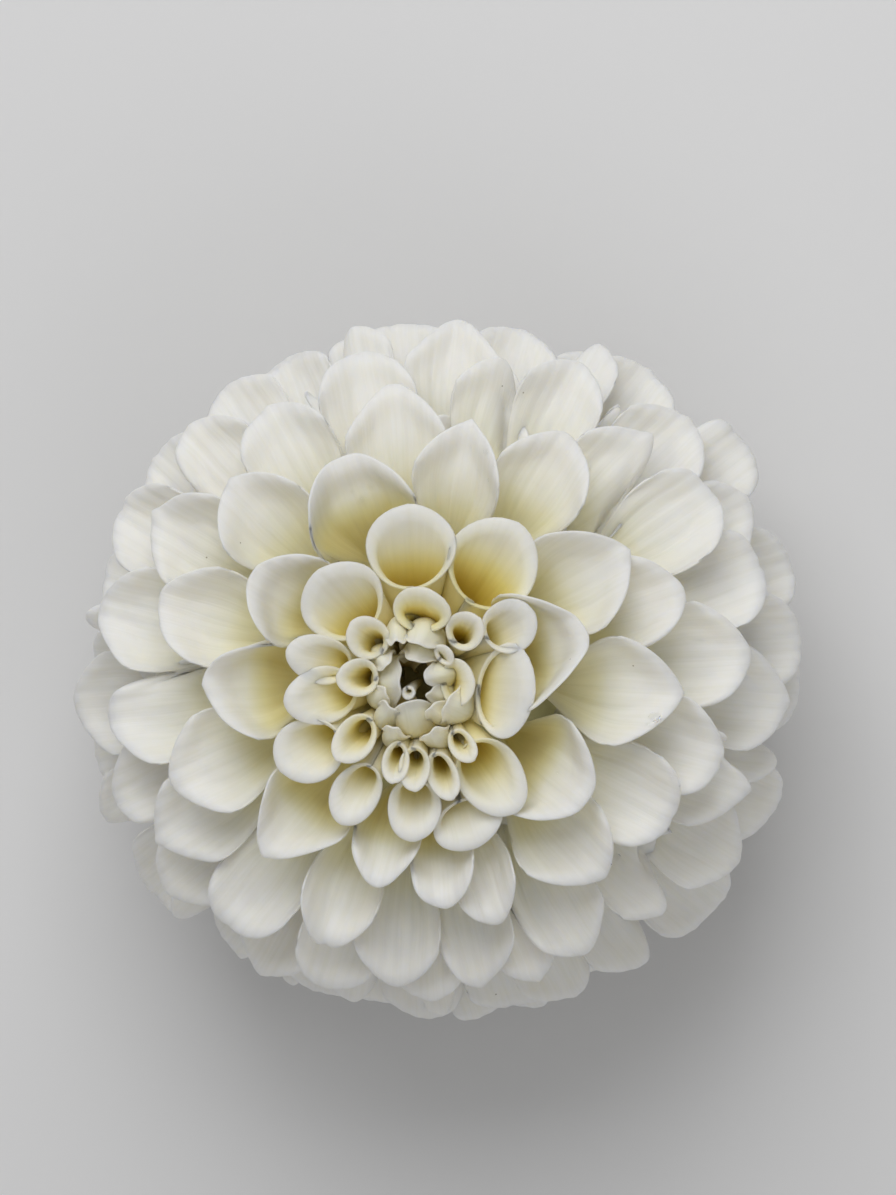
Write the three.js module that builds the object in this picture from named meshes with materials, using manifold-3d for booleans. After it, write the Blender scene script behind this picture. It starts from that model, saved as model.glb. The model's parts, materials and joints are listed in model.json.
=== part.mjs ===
// A pompon dahlia bloom, picked with a short stump of stem. It lies face up on its lowest petals.
// Millimetres, +Z up along the bloom's axis, table at z = 0.
// Every petal is a floret: a rolled root in the fleshy receptacle that opens into a spoon-shaped limb.

import * as THREE from "three";
import { mergeVertices } from "three/addons/utils/BufferGeometryUtils.js";
import Module from "manifold-3d";

// ---- Driving dimensions ----

const BLOOM_RADIUS = 45; // the ball's widest radius, across the petal tips
const FRONT_DEPTH = 38; // from the widest level up to the face
const BACK_DEPTH = 33; // from the widest level down to the back
const ROOT_SHARE = 0.9; // the roots end this far out in the core, so they are sunk well in
const SPOON_SPREAD = 1.15; // a limb laid flat, compared with its width as it stands
const ROLLED_SPREAD = 1.9;
const REST_CUT = 0.5; // how much of the lowest tips is pressed flat on the table
const BLADE = 0.8; // thickness of a limb
const GAP = 0.3; // clearance between neighbouring pieces

const CORE_RADIUS = 25; // the receptacle with the packed floret roots, seen from above
const CORE_TOP = 22; // its height above the widest level
const CORE_BOTTOM = 17; // its depth below the widest level
const BUTTON_RADIUS = 9.2; // the middle of the receptacle, which carries the inner florets
const BUTTON_DEPTH = 9;

const CALYX_RADIUS = 10.5; // disc of the involucre under the receptacle
const CALYX_THICKNESS = 3.2;
const STEM_RADIUS = 2.7;
const STEM_CLEARANCE = 1.5; // the stump's end stays above the table

// ---- Where the florets stand ----
// One row for each floret that shows from the front: bearing of its tip in degrees, anticlockwise from +X,
// reach of the tip from the axis in mm, and width of the limb in mm, read off the bloom by eye.

const TUBES = [
  [38.5, 11.9, 4.5], [77, 11.8, 7.1], [133.5, 9.9, 5.2], [174, 8.5, 4.6], [230, 12.7, 4.7],
  [260.5, 12.2, 3.2], [276, 13, 3.4], [293, 15.1, 3.4], [313, 12.2, 3.4], [4, 8.3, 5.6], [41, 6.6, 3.2],
  [295, 1.9, 3],
];
const CUPS = [
  [29, 17.7, 6.7], [92, 21.8, 10.8], [55.5, 23.6, 11], [127.5, 17.7, 10.2], [165, 15.4, 5.8],
  [187, 15.4, 6.8], [216, 19.2, 8.2], [245, 19.3, 5.9], [274, 19.4, 6.7], [293.5, 21.9, 8.6],
  [310, 20.6, 8.2], [355, 15.8, 11.4],
];
const YOUNG = [
  [15, 22.7, 15.4], [328, 25.9, 13.4], [144, 23.5, 12], [182, 25.3, 13.6], [230, 27.7, 12],
  [260.5, 25.3, 8.8], [279, 27.9, 9], [107, 28.3, 14.4],
];
const MATURE = [
  [32, 30.4, 13.6], [357, 32.4, 13.6], [288, 31.2, 9], [251, 34.1, 9.7], [313, 33, 12.3], [202, 32.2, 12.8],
  [163, 32.5, 12.3], [132, 32.8, 12.3], [76.5, 31.9, 11.1], [18.5, 34.3, 14], [57.5, 34.8, 12],
];
const WIDE = [
  [331, 35.3, 12.7], [345, 38.1, 13.4], [5, 40.2, 13.7], [31, 41.6, 12], [46, 40.4, 12], [63, 42.5, 10.5],
  [73, 40.6, 12], [95, 35.8, 12.4], [119, 37.4, 11.6], [148, 37.9, 12.8], [169, 40.4, 12.8],
  [187, 38.3, 13.6], [213, 37.8, 11.9], [233, 38.4, 11.6], [265, 37.5, 10.7], [281, 38.2, 11],
  [301, 39, 11.2],
];
const SHOULDER = [
  [17, 43, 12.3], [356, 44.3, 13], [340, 42.1, 12.5], [329, 44.4, 11.8], [319, 42.1, 12.3], [292, 39.6, 11],
  [272, 39.7, 11], [254, 39.8, 10.4], [242, 42.3, 10.4], [221, 41.7, 11.6], [201, 41.1, 12.2],
  [186, 44.4, 13], [174, 42.3, 12.9], [152, 42.5, 11.7], [133, 42, 11.6], [100, 40.1, 12], [84, 43.4, 12.3],
  [44, 44.4, 12.4], [28, 44.6, 12.4],
];
// The rim's florets stand above and below the widest level in turn: their last value is the polar angle.
const RIM = [
  [6, 45.3, 12.4, 86], [358, 44.8, 12.5, 95], [349, 44.8, 12.4, 88], [339, 45.6, 12.3, 96],
  [319, 45.4, 11.9, 95], [307, 45.1, 11.9, 88], [294, 43.9, 11.5, 85], [284, 42.9, 11.3, 95],
  [277, 44.1, 11.2, 85], [269, 43.7, 11.3, 95], [259, 43.2, 11.2, 87], [248, 43.2, 11.5, 96],
  [236, 43.8, 11.5, 92], [228, 45, 11.9, 86], [217, 45.7, 11.9, 95], [205, 45.7, 11.9, 87],
  [194, 44.4, 12, 96], [163, 43, 12, 90], [143, 43.6, 12, 85], [126, 43.6, 11.9, 90], [117, 42.6, 11.8, 96],
  [106, 44, 12.2, 86], [95, 42.9, 12.2, 95], [75, 43.2, 11.9, 95], [66, 45.5, 12.2, 87], [55, 45.3, 12, 96],
  [48, 46.7, 11.9, 85], [36, 47.4, 11.9, 90], [16, 45.7, 12.2, 95],
];
// Shorter florets at the sides, where the shoulder and the rim leave room between them.
const SIDE = [
  [305, 40.8, 11.5, 76], [290, 40.2, 11, 75], [276, 40, 11, 76], [262, 40, 11, 75], [248, 40.5, 11, 77],
  [232, 41, 11.5, 77], [212, 41, 11.5, 76], [142, 41.5, 12, 77], [122, 41, 12, 78], [108, 40.5, 12, 74],
];
const EYE_DIMPLE = 2.4; // how far the mouths at the eye lie below the ball
const DIMPLE_RADIUS = 11;

// The rings from the eye to the back. turn: how far the root lies back towards the eye, in degrees of
// the ball. lean: how far the tip bends outwards from the ball's radius. waist and mouth: how steeply
// the flanks fold up, at the middle and at the tip. A ring with a count stands at its polar angle,
// evenly round the ball, from its phase on; the others stand where the lists above say.
const RINGS = [
  { florets: TUBES, turn: 0, lean: 8, waist: 125, mouth: 115, rolled: true },
  { florets: CUPS, turn: 8, lean: 22, waist: 105, mouth: 85, rolled: true },
  { florets: YOUNG, turn: 6, lean: 42, waist: 64, mouth: 42 },
  { florets: MATURE, turn: 12, lean: 50, waist: 60, mouth: 36 },
  { florets: WIDE, turn: 15, lean: 50, waist: 54, mouth: 32 },
  { florets: SHOULDER, turn: 16, lean: 48, waist: 50, mouth: 30 },
  { florets: RIM, turn: 17, lean: 46, waist: 45, mouth: 26 },
  { count: 18, phase: 0, polar: 108, width: 13, turn: 17, lean: 44, waist: 45, mouth: 26 },
  { count: 18, phase: 0.5, polar: 118, width: 13, turn: 17, lean: 42, waist: 45, mouth: 26 },
  { count: 16, phase: 0.1, polar: 128, width: 12.5, turn: 18, lean: 40, waist: 45, mouth: 26 },
  { count: 14, phase: 0.6, polar: 139, width: 12, turn: 19, lean: 36, waist: 42, mouth: 26 },
  { count: 12, phase: 0.2, polar: 150, width: 11, turn: 22, lean: 32, waist: 40, mouth: 24, level: true },
  { florets: SIDE, turn: 17, lean: 40, waist: 48, mouth: 30 },
];

// The closed florets at the eye: bearing, how far out the back bulges and the tip ends, width, and height
// of the tip. They lean over a small hollow.
const HOODS = [
  [178, 4.1, 0.5, 6.6, 34.4], [103, 7.2, 4.4, 3, 36], [72, 7, 4.4, 5, 36.2], [70, 5, 2.4, 4.4, 35.4],
  [14, 4.6, 2, 3.6, 35.2], [338, 4.7, 2.5, 2.6, 35], [333, 8.8, 5, 4.4, 36.4], [281, 7.8, 1.9, 4.8, 35.8],
  [297, 9.4, 6, 2.8, 36.4], [254, 8.2, 5, 2.8, 36], [236, 6.2, 2.8, 3, 35.6], [207, 5, 2.3, 2.8, 35],
  [140, 5, 2.8, 2.6, 35], [315, 6.6, 3.6, 2.8, 35.8],
];
const HOOD_FOOT = 0.7; // the foot stands this share of the back's reach from the axis
const HOOD_PROFILE = [[0, 0], [0.5, 0], [0.7, 0.55], [1, 0.84], [0, 1]]; // shares of radius and length
const HOOD_RADIUS = 0.42; // as a share of its width

const BRACTS = [
  // pale inner bracts against the back of the head
  { count: 8, root: [8.5, -17], tip: [17.5, -20.5], start: 100, end: 135, width: 6.5, phase: 10 },
  // green outer bracts, bent down along the stump
  { count: 6, root: [6, -19.6], tip: [12.5, -26.5], start: 105, end: 172, width: 4.8, phase: 0 },
];
const SEED = 7;

// ---- Small helpers ----

const wasm = await Module();
wasm.setup();

const rad = THREE.MathUtils.degToRad;
const deg = THREE.MathUtils.radToDeg;
const lerp = THREE.MathUtils.lerp;
const draw = (spread) => THREE.MathUtils.seededRandom() * 2 * spread - spread;
THREE.MathUtils.seededRandom(SEED);

// A closed geometry as a solid that can be joined and cut.
function solidOf(geometry) {
  const bare = new THREE.BufferGeometry();
  bare.setAttribute("position", geometry.getAttribute("position"));
  bare.setIndex(geometry.index);
  const merged = mergeVertices(bare, 1e-4);
  return new wasm.Manifold(new wasm.Mesh({
    numProp: 3,
    vertProperties: merged.getAttribute("position").array,
    triVerts: new Uint32Array(merged.index.array),
  }));
}

// The solid's largest shell: cutting can leave loose scraps, and joining can seal small hollows.
function mainShell(solid) {
  const shells = solid.decompose();
  return shells.reduce((best, shell) => (shell.volume() > best.volume() ? shell : best));
}

function meshOf(name, solid, material) {
  const { vertProperties, triVerts } = solid.getMesh();
  const geometry = new THREE.BufferGeometry();
  geometry.setAttribute("position", new THREE.BufferAttribute(vertProperties, 3));
  geometry.setIndex(new THREE.BufferAttribute(triVerts, 1));
  geometry.computeVertexNormals();
  const mesh = new THREE.Mesh(geometry, material);
  mesh.name = name;
  return mesh;
}

// A turned solid from a profile of [radius, height] pairs that starts and ends on the axis.
function turned(profile, segments) {
  return solidOf(new THREE.LatheGeometry(profile.map(([r, z]) => new THREE.Vector2(r, z)), segments)
    .rotateX(Math.PI / 2));
}

// A point of the meridian plane, [distance from the axis, height above the widest level].
const onBall = (polar) => {
  const depth = polar < 90 ? FRONT_DEPTH : BACK_DEPTH;
  return new THREE.Vector2(BLOOM_RADIUS * Math.sin(rad(polar)), depth * Math.cos(rad(polar)));
};
const onCore = (polar, share) => {
  const depth = polar < 90 ? CORE_TOP : CORE_BOTTOM;
  return new THREE.Vector2(CORE_RADIUS * Math.sin(rad(polar)), depth * Math.cos(rad(polar)))
    .multiplyScalar(share);
};
const heading = (polar) => new THREE.Vector2(Math.sin(rad(polar)), Math.cos(rad(polar)));

// ---- One floret ----

// Rows of a blade from the root to the tip: how far along the midrib, the half width as a share of the
// widest, and whether the row is folded up at its sides or flat.
const SPOON_ROWS = [
  { along: 0, share: 0.22 },
  { along: 0.45, share: 0.66 },
  { along: 0.8, share: 1, folded: true },
  { along: 1, share: 0.4 },
];
const ROLLED_ROWS = [
  { along: 0, share: 0.2 },
  { along: 0.5, share: 0.6, folded: true },
  { along: 0.8, share: 1, folded: true },
  { along: 1, share: 0.8, folded: true },
];
const BEND = 0.42; // length of the midrib's curve handles, as a share of the floret's reach
const LIP = 0.16; // the rolled florets' side edges end this much of their length below the tip

// One side of the folded cross-section: shares of the half width, and of the fold, panel by panel.
const SPOON_SECTION = { lengths: [0.44, 0.56], folds: [0, 1] };
const ROLLED_SECTION = { lengths: [0.24, 0.4, 0.36], folds: [0, 0.5, 1] };

// Points of a row from one edge to the other, [across, lift].
function rowPoints(halfWidth, fold, folded, { lengths, folds }) {
  if (!folded) return [[-halfWidth, 0], [halfWidth, 0]];
  const side = [];
  let across = 0;
  let lift = 0;
  lengths.forEach((length, i) => {
    across += halfWidth * length * Math.cos(rad(fold * folds[i]));
    lift += halfWidth * length * Math.sin(rad(fold * folds[i]));
    side.push([across, lift]);
  });
  return [...side.map(([x, y]) => [-x, y]).reverse(), ...side];
}

// A floret as a closed blade, swept along a midrib that leaves the core at one heading of the meridian
// plane and ends at another. extra makes it larger all round, to cut a clearance with.
function floret(spec, extra = 0) {
  const { bearing, root, tip, start, end, width, waist, mouth, rolled = false, yaw = 0 } = spec;
  const reach = root.distanceTo(tip);
  const far = tip.clone().addScaledVector(heading(end), extra);
  const midrib = new THREE.CubicBezierCurve(
    root,
    root.clone().addScaledVector(heading(start), BEND * reach),
    far.clone().addScaledVector(heading(end), -BEND * reach),
    far,
  );
  const rows = (rolled ? ROLLED_ROWS : SPOON_ROWS).map(({ along, share, folded }) => {
    const halfWidth = (width / 2) * share + extra;
    const shape = rolled ? ROLLED_SECTION : SPOON_SECTION;
    const section = rowPoints(halfWidth, lerp(waist, mouth, along), folded, shape);
    return section.map(([across, lift]) => {
      const lip = rolled && along === 1 ? LIP * (across / halfWidth) ** 2 + LIP * (lift / halfWidth) : 0;
      const at = midrib.getPoint(along - lip);
      const way = midrib.getTangent(along - lip);
      const drift = Math.tan(rad(yaw)) * reach * along * along;
      return new THREE.Vector3(at.x - way.y * lift, across + drift, at.y + way.x * lift);
    });
  });
  return solidOf(thickened(rows, BLADE + 2 * extra).rotateZ(rad(bearing)));
}

// Triangles between two neighbouring rows, which may differ in their number of points.
function stitched(a, b) {
  const triangles = [];
  let i = 0;
  let j = 0;
  const share = (k, row) => (k + 0.5) / (row.length - 1);
  while (i < a.length - 1 || j < b.length - 1) {
    const nextInB = i === a.length - 1 || (j < b.length - 1 && share(j, b) < share(i, a));
    triangles.push(nextInB ? [a[i], b[j], b[j + 1]] : [a[i], b[j], a[i + 1]]);
    if (nextInB) j += 1;
    else i += 1;
  }
  return triangles;
}

// Thickens rows of points into a closed blade. Both faces are split along the same diagonals.
function thickened(rows, thickness) {
  const points = rows.flat();
  const ids = [];
  rows.forEach((row) => ids.push(row.map((_, i) => i + ids.flat().length)));
  const sheet = ids.slice(1).flatMap((row, r) => stitched(ids[r], row));
  const normals = points.map(() => new THREE.Vector3());
  sheet.forEach(([a, b, c]) => {
    const normal = points[b].clone().sub(points[a]).cross(points[c].clone().sub(points[a]));
    [a, b, c].forEach((id) => normals[id].add(normal));
  });
  const face = (side) => points.map((p, i) => p.clone().addScaledVector(normals[i].normalize(), side));
  const positions = [...face(thickness / 2), ...face(-thickness / 2)].flatMap((p) => p.toArray());

  const outline = [...ids[0], ...ids.slice(1, -1).map((row) => row.at(-1)), ...ids.at(-1).toReversed(),
    ...ids.slice(1, -1).map((row) => row[0]).toReversed()];
  const under = points.length;
  const index = sheet.flatMap(([a, b, c]) => [a, b, c, under + a, under + c, under + b]);
  outline.forEach((a, i) => {
    const b = outline[(i + 1) % outline.length];
    index.push(a, b, under + b, a, under + b, under + a);
  });
  const geometry = new THREE.BufferGeometry();
  geometry.setAttribute("position", new THREE.Float32BufferAttribute(positions, 3));
  geometry.setIndex(index);
  return geometry;
}

// What each floret of a ring needs to be built.
function ringOf({ florets, count, phase, polar, width, turn, lean, waist, mouth, rolled, level }) {
  const stands = florets ?? Array.from({ length: count }, (_, i) => {
    const jitter = level ? 0 : 1;
    const bearing = ((i + phase + draw(0.15) * jitter) * 360) / count;
    return [bearing, onBall(polar).x + draw(0.8) * jitter, width + draw(0.5)];
  });
  return stands.map(([bearing, reach, limbWidth, own]) => {
    const tipPolar = own ?? polar ?? deg(Math.asin(Math.min(reach / BLOOM_RADIUS, 1)));
    const dimple = rolled ? EYE_DIMPLE * Math.sqrt(Math.max(0, 1 - reach / DIMPLE_RADIUS)) : 0;
    return {
      bearing,
      root: onCore(tipPolar - turn, ROOT_SHARE),
      tip: new THREE.Vector2(reach, onBall(tipPolar).y - dimple),
      start: tipPolar - turn,
      end: tipPolar + lean + (level ? 0 : draw(4)),
      width: limbWidth * (rolled ? ROLLED_SPREAD : SPOON_SPREAD),
      waist,
      mouth,
      rolled,
      yaw: draw(2),
    };
  });
}

// A closed floret of the eye: a small five-sided hood, thickest just below its tip.
function hood([bearing, back, tipReach, width, height]) {
  const foot = new THREE.Vector2(back * HOOD_FOOT, CORE_TOP - 2);
  const tip = new THREE.Vector2(tipReach, height);
  const length = foot.distanceTo(tip);
  const profile = HOOD_PROFILE.map(([r, h]) => new THREE.Vector2(r * width * HOOD_RADIUS, h * length));
  const geometry = new THREE.LatheGeometry(profile, 5).rotateX(Math.PI / 2);
  geometry.rotateY(Math.atan2(tip.x - foot.x, tip.y - foot.y)).translate(foot.x, 0, foot.y);
  return solidOf(geometry.rotateZ(rad(bearing)));
}

// ---- The pieces ----

const join = (solids) => wasm.Manifold.union(solids);
const rings = RINGS.map(ringOf);
const innerRings = rings.filter((_, i) => RINGS[i].rolled).flat();
const outerRings = rings.filter((_, i) => !RINGS[i].rolled).flat();
const besideInner = outerRings.filter(({ root }) => root.x < 2 * BUTTON_RADIUS);

// The core, or the same grown by extra all round.
function coreSolid(extra) {
  const profile = [];
  for (let polar = 180; polar >= 0; polar -= 22.5) {
    profile.push(onCore(polar, 1).addScaledVector(heading(polar), extra).toArray());
  }
  return turned(profile, 12);
}
const button = (extra) => turned([
  [0, CORE_TOP - BUTTON_DEPTH - extra],
  [BUTTON_RADIUS - 1 + extra, CORE_TOP - BUTTON_DEPTH - extra],
  [BUTTON_RADIUS + extra, CORE_TOP],
  [0, CORE_TOP + 0.6],
], 10);

function outerFlorets() {
  const blades = outerRings.map((spec) => floret(spec));
  const whole = join([coreSolid(0), ...blades]).subtract(button(GAP));
  const table = whole.boundingBox().min[2] + REST_CUT;
  const side = 4 * BLOOM_RADIUS;
  const slab = new THREE.BoxGeometry(side, side, side).translate(0, 0, table - side / 2);
  return mainShell(whole.subtract(solidOf(slab)));
}

function innerFlorets() {
  const blades = innerRings.map((spec) => floret(spec));
  const hoods = HOODS.map(hood);
  const neighbours = besideInner.map((spec) => floret(spec, GAP));
  const keepOut = join([coreSolid(GAP).subtract(button(0)), ...neighbours]);
  return mainShell(join([button(0), ...blades, ...hoods]).subtract(keepOut));
}

function calyxAndStem(table) {
  const cut = table + STEM_CLEARANCE;
  const body = turned([
    [0, cut], [STEM_RADIUS, cut], [STEM_RADIUS, -CORE_BOTTOM - CALYX_THICKNESS - 2.5],
    [CALYX_RADIUS * 0.55, -CORE_BOTTOM - CALYX_THICKNESS], [CALYX_RADIUS, -CORE_BOTTOM - 1],
    [CALYX_RADIUS + 0.6, -CORE_BOTTOM + 2.2], [0, -CORE_BOTTOM + 2.2],
  ], 12);
  const bracts = BRACTS.flatMap(({ count, root, tip, start, end, width, phase }) => (
    Array.from({ length: count }, (_, i) => floret({
      bearing: phase + (i * 360) / count,
      root: new THREE.Vector2(...root),
      tip: new THREE.Vector2(...tip),
      start,
      end,
      width,
      waist: 30,
      mouth: 20,
    }))));
  return mainShell(join([body, ...bracts]).subtract(coreSolid(GAP)));
}

const outer = outerFlorets();
const inner = innerFlorets();
const table = outer.boundingBox().min[2];
const calyx = calyxAndStem(table);

const white = new THREE.MeshStandardMaterial({ color: 0xf4f3ee, roughness: 0.6, metalness: 0 });
const cream = new THREE.MeshStandardMaterial({ color: 0xefe9c4, roughness: 0.6, metalness: 0 });
const green = new THREE.MeshStandardMaterial({ color: 0x7f9a56, roughness: 0.7, metalness: 0 });

const bloom = new THREE.Group();
bloom.add(meshOf("outer_florets", outer, white));
bloom.add(meshOf("inner_florets", inner, cream));
bloom.add(meshOf("calyx_and_stem", calyx, green));
const { min, max } = outer.boundingBox();
bloom.position.set(-(min[0] + max[0]) / 2, -(min[1] + max[1]) / 2, -table);

export default bloom;
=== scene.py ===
# %% [markdown]
# # A pompon dahlia bloom, petal by petal
#
# The head of a dahlia is a crowd of small flowers called florets. Each one is a single petal that starts
# as a narrow tube in the fleshy middle and opens into a spoon. In a pompon dahlia they stand all round a
# ball. The plan of this lesson is the plan of the plant: find the ball, place the florets ring by ring,
# shape one petal well, and let a loop make the others with small differences.

# %% Load the frame
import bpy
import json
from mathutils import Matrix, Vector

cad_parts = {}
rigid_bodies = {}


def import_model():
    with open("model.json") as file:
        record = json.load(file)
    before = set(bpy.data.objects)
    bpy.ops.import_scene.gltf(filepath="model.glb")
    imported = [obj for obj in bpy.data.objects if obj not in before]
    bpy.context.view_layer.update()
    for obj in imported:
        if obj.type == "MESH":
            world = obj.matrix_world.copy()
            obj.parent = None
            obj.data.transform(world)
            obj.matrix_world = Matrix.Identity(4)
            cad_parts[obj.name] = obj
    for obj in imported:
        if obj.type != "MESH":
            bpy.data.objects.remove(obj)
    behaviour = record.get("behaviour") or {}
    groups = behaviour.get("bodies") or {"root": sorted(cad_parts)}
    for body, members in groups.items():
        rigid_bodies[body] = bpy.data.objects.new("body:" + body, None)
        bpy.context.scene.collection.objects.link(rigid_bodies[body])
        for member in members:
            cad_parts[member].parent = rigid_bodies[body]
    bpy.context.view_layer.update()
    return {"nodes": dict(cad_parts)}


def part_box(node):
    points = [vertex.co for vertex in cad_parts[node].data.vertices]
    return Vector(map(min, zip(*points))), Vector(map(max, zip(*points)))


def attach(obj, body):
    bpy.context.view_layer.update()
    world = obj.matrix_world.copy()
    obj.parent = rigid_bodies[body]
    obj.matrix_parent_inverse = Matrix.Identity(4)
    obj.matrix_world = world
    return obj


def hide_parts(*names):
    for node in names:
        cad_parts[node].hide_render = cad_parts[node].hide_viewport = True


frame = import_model()

# %% Tools used all through
import json
import math

import bpy
import numpy as np
from mathutils import Matrix, Vector

MM = 0.001
TAU = 2 * math.pi

# %% [markdown]
# ## Where the bloom stands
#
# A petal is easiest to describe from the middle of the bloom, so the lesson works in millimetres from the
# point where the bloom's axis meets its widest level. Two things in the solid model give that point: the
# stump's round cut end lies on the axis, and the foot of the inner florets is at a known height above the
# widest level. Measuring them is safer than typing them in, because the solid model may be made again.

# %% Find the axis and the widest level
INNER_FOOT = 13  # mm, height of the inner florets' foot above the widest level
CUT_END_BAND = 0.1 * MM  # points this close to the stump's lowest one belong to its cut end

stump = [v.co for v in frame["nodes"]["calyx_and_stem"].data.vertices]
cut_height = min(point.z for point in stump)
cut_end = [point for point in stump if point.z < cut_height + CUT_END_BAND]
axis_point = sum(cut_end, Vector()) / len(cut_end)
centre = Vector((axis_point.x, axis_point.y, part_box("inner_florets")[0].z - INNER_FOOT * MM))
print("middle of the bloom, mm:", [round(c / MM, 2) for c in centre])

# %% [markdown]
# ## The ball and its core
#
# The tips of the florets lie on a slightly flattened ball, and their roots in a smaller core of the same
# kind. A direction on the ball is given by its polar angle: 0 is the eye at the top, 90 the widest level
# and 180 the stalk. All shapes are first drawn in the half plane of one bearing, as distance from the axis
# and height, and are then turned to their bearing. Round the eye the ball has a shallow dimple.

# %% Ball, core and headings
BLOOM_RADIUS = 45
FRONT_DEPTH = 38
BACK_DEPTH = 33
CORE_RADIUS = 25
CORE_TOP = 22
CORE_BOTTOM = 17
ROOT_SHARE = 0.9  # the roots end this far out in the core
EYE_DIMPLE = 2.4  # mm, how far the middle of the eye lies below the ball
DIMPLE_RADIUS = 11


def on_ball(polar):
    depth = FRONT_DEPTH if polar < 90 else BACK_DEPTH
    return np.array([BLOOM_RADIUS * math.sin(math.radians(polar)), depth * math.cos(math.radians(polar))])


def on_core(polar):
    depth = CORE_TOP if polar < 90 else CORE_BOTTOM
    return np.array([CORE_RADIUS * math.sin(math.radians(polar)), depth * math.cos(math.radians(polar))])


def heading(polar):
    return np.array([math.sin(math.radians(polar)), math.cos(math.radians(polar))])


def polar_of(reach):
    return math.degrees(math.asin(min(reach / BLOOM_RADIUS, 1)))


def mouth_level(reach):
    """The height of the ball at this distance from the axis, with the dimple taken off."""
    level = on_ball(polar_of(reach))[1]
    return level - EYE_DIMPLE * max(0, 1 - reach / DIMPLE_RADIUS) ** 0.5


print("height of the ball at the eye, mm:", round(float(mouth_level(0)), 1))

# %% [markdown]
# ## Where each floret stands
#
# From the front no two gaps in a real bloom are alike, so a perfect spiral looks wrong at once. The florets
# that show from the front are listed one by one: the bearing of the tip in degrees, anticlockwise from the
# right, its distance from the axis and the width of the petal, in millimetres, read off the flower.
# Small ones stand round the eye, then cups, then open spoons in ever wider rings out to the rim.

# %% The tubes and cups round the eye
# After the width come the depth of the mouth, from its near edge to its far edge, and the angle by which
# one side edge is rolled on inside the other: the anticlockwise one where the angle is above 0.
TUBES = [
    (38.5, 11.9, 4.5, 4.7, 15), (77, 11.8, 7.1, 5.2, -150), (133.5, 9.9, 5.2, 5, 5),
    (174, 8.5, 4.6, 4.7, -5), (230, 12.7, 4.7, 6.2, 10), (260.5, 12.3, 3.1, 4.9, 5),
    (276, 13.1, 3.7, 5.1, -5), (293, 15.2, 3.6, 6, 5), (313, 12.3, 3.1, 4.1, 5), (4, 8.3, 5.6, 4.1, 5),
    (41, 6.6, 2.6, 1.8, 0), (295, 1.9, 1.5, 1.4, 0),
]
CUPS = [
    (29, 17.7, 6.7, 6.3, 5), (92, 21.8, 10.8, 9.8, 5), (55.5, 23.6, 11, 10.6, 10),
    (127.5, 17.7, 10.2, 9, -5), (165, 15.4, 5.8, 7.4, 5), (187, 15.4, 6.8, 8.2, -5),
    (216, 19.2, 8.2, 8.2, 5), (245, 19.3, 5.9, 7.6, 5), (274, 19.4, 6.7, 7.2, 5),
    (293.5, 21.9, 8.6, 5.6, 5), (310, 20.6, 8.2, 9.6, -5), (355, 15.8, 11.4, 6.8, 100),
]
print("tubes and cups:", len(TUBES), len(CUPS))

# %% The open florets
YOUNG = [
    (15, 22.7, 15.4), (328, 25.9, 13.4), (144, 23.5, 12), (182, 25.3, 13.6), (230, 27.7, 12),
    (260.5, 25.3, 8.8), (279, 27.9, 9), (107, 28.3, 14.4),
]
MATURE = [
    (32, 30.4, 13.6), (357, 32.4, 13.6), (288, 31.2, 9), (251, 34.1, 9.7), (313, 33, 12.3),
    (202, 32.2, 12.8), (163, 32.5, 12.3), (132, 32.8, 12.3), (76.5, 31.9, 11.1), (18.5, 34.3, 14),
    (57.5, 34.8, 12),
]
WIDE = [
    (331, 35.3, 12.7), (345, 38.1, 13.4), (5, 40.2, 13.7), (31, 41.6, 12), (46, 40.4, 12),
    (63, 42.5, 10.5), (73, 40.6, 12), (95, 35.8, 12.4), (119, 37.4, 11.6), (148, 37.9, 12.8),
    (169, 40.4, 12.8), (187, 38.3, 13.6), (213, 37.8, 11.9), (233, 38.4, 11.6), (265, 37.5, 10.7),
    (281, 38.2, 11), (301, 39, 11.2),
]
SHOULDER = [
    (17, 43, 12.3), (356, 44.3, 13), (340, 42.1, 12.5), (329, 44.4, 11.8), (319, 42.1, 12.3),
    (292, 39.6, 11), (272, 39.7, 11), (254, 39.8, 10.4), (242, 42.3, 10.4), (221, 41.7, 11.6),
    (201, 41.1, 12.2), (186, 44.4, 13), (174, 42.3, 12.9), (152, 42.5, 11.7), (133, 42, 11.6),
    (100, 40.1, 12), (84, 43.4, 12.3), (44, 44.4, 12.4), (28, 44.6, 12.4),
]
print("open florets of the front:", sum(map(len, (YOUNG, MATURE, WIDE, SHOULDER))))

# %% The florets of the rim and the sides
# The rim's florets stand above and below the widest level in turn: their last value is the polar angle.
RIM = [
    (6, 45.3, 12.4, 86), (358, 44.8, 12.5, 95), (349, 44.8, 12.4, 88), (339, 45.6, 12.3, 96),
    (319, 45.4, 11.9, 95), (307, 45.1, 11.9, 88), (294, 43.9, 11.5, 85), (284, 42.9, 11.3, 95),
    (277, 44.1, 11.2, 85), (269, 43.7, 11.3, 95), (259, 43.2, 11.2, 87), (248, 43.2, 11.5, 96),
    (236, 43.8, 11.5, 92), (228, 45, 11.9, 86), (217, 45.7, 11.9, 95), (205, 45.7, 11.9, 87),
    (194, 44.4, 12, 96), (163, 43, 12, 90), (143, 43.6, 12, 85), (126, 43.6, 11.9, 90),
    (117, 42.6, 11.8, 96), (106, 44, 12.2, 86), (95, 42.9, 12.2, 95), (75, 43.2, 11.9, 95),
    (66, 45.5, 12.2, 87), (55, 45.3, 12, 96), (48, 46.7, 11.9, 85), (36, 47.4, 11.9, 90),
    (16, 45.7, 12.2, 95),
]
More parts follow.
